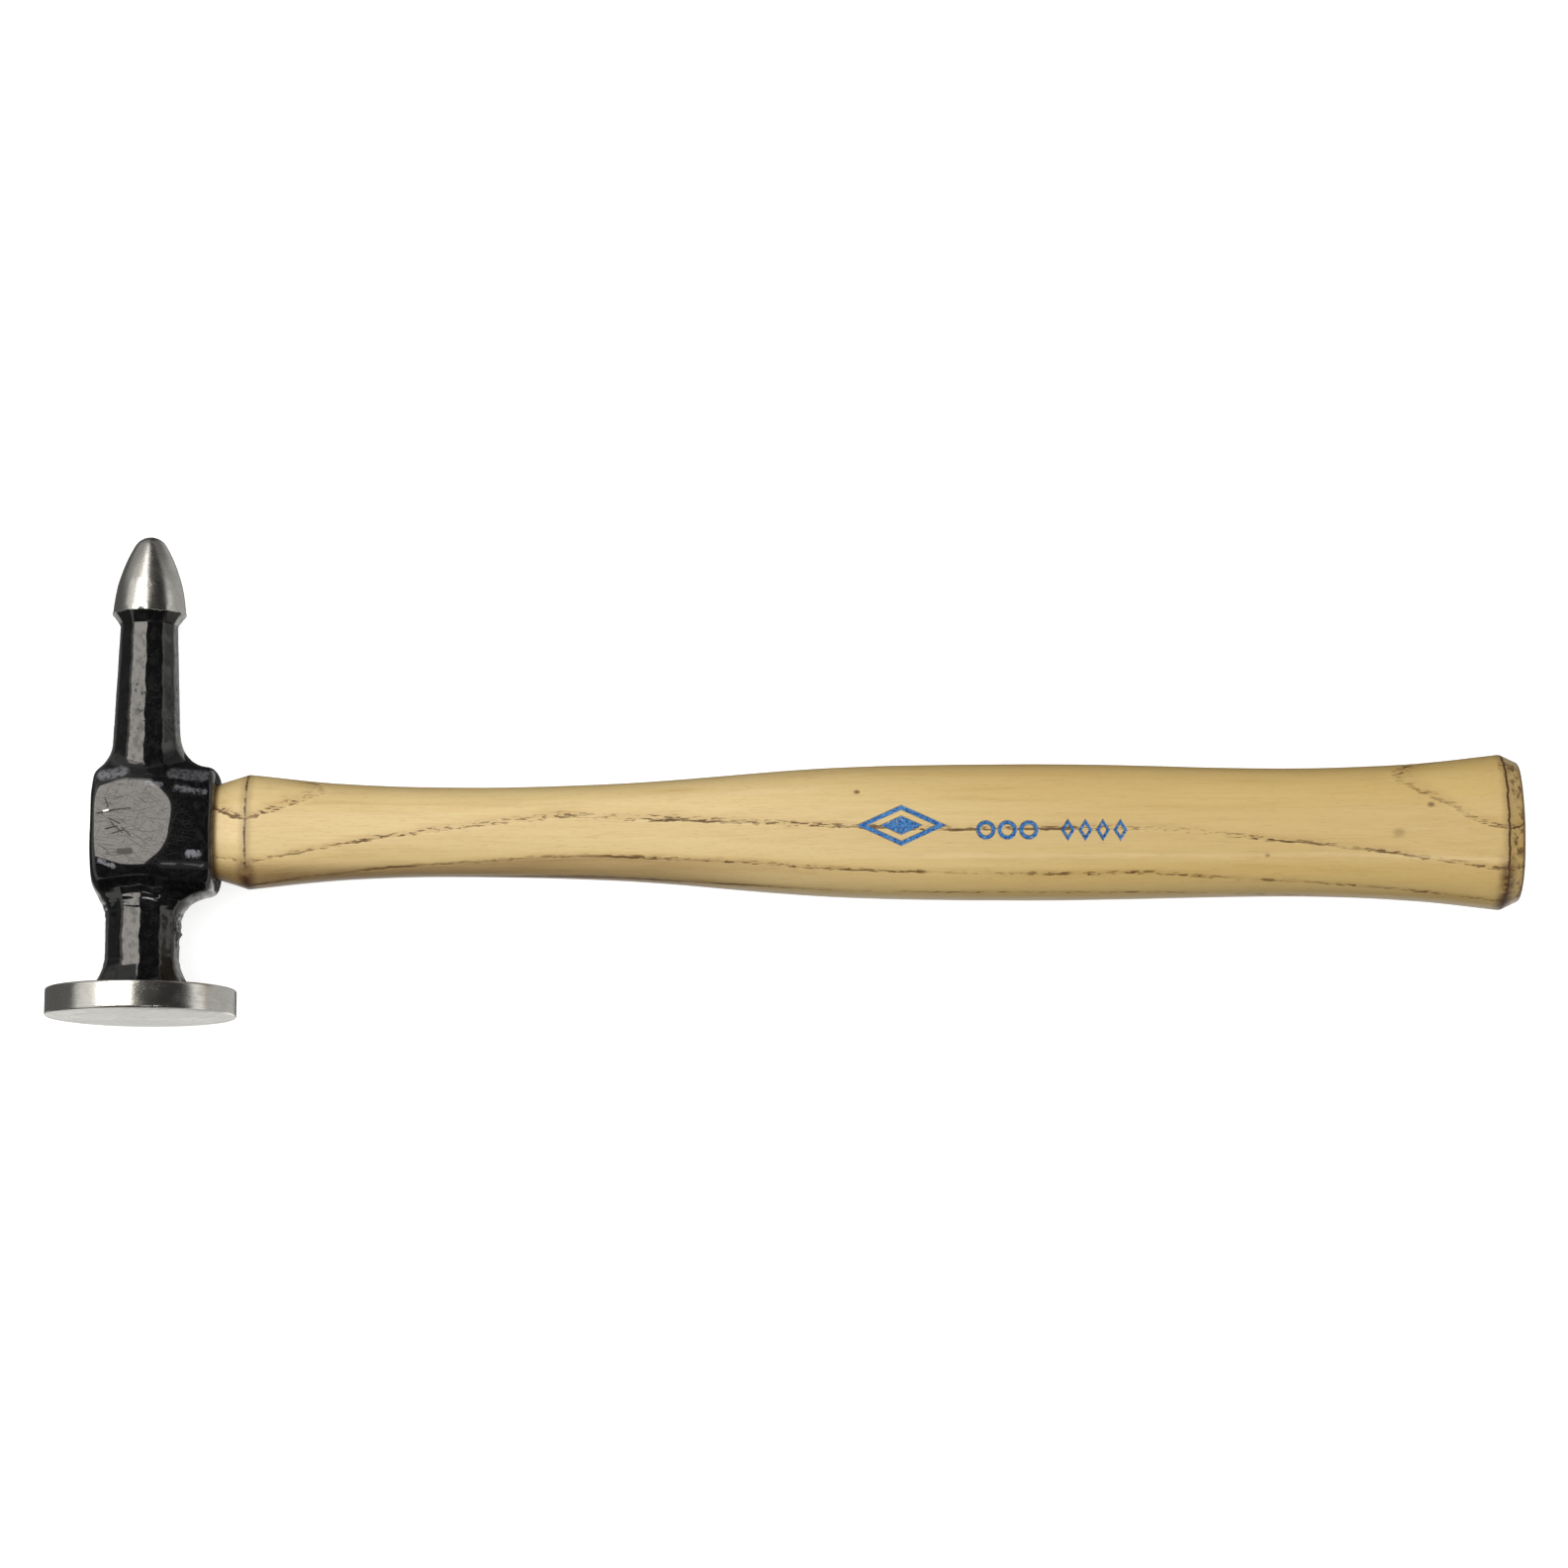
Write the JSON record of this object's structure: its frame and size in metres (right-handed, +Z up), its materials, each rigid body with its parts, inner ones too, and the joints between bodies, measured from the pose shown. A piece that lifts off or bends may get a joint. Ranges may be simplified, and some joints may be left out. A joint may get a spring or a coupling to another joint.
{
  "type": "panel-beating hammer",
  "caption": "Panel-beating hammer: forged head with a thin round striking face and a bullet-shaped point, wedged on a long oval wooden handle with a flared butt.",
  "frame": {"origin": "middle of the underside of the lying hammer's bounding box, on the bench", "axes": "+Z up from the bench, +X along the handle from the head to the butt, +Y from the striking face towards the point"},
  "size_m": [0.304, 0.1026, 0.0394],
  "materials": {
    "black_lacquered_steel": "black lacquer over forged steel, with the striking face's disc, the bullet point and their rims ground bare",
    "lacquered_ash": "clear-lacquered ash with open pores and scorched ridge lines",
    "bare_beech": "bare end grain",
    "wedge_steel": "bare mild steel, hammered flush"
  },
  "bodies": {
    "root": {"head": "black_lacquered_steel", "handle": "lacquered_ash", "wood_wedge": "bare_beech", "steel_wedge_1": "wedge_steel", "steel_wedge_2": "wedge_steel"}
  },
  "joints": []
}
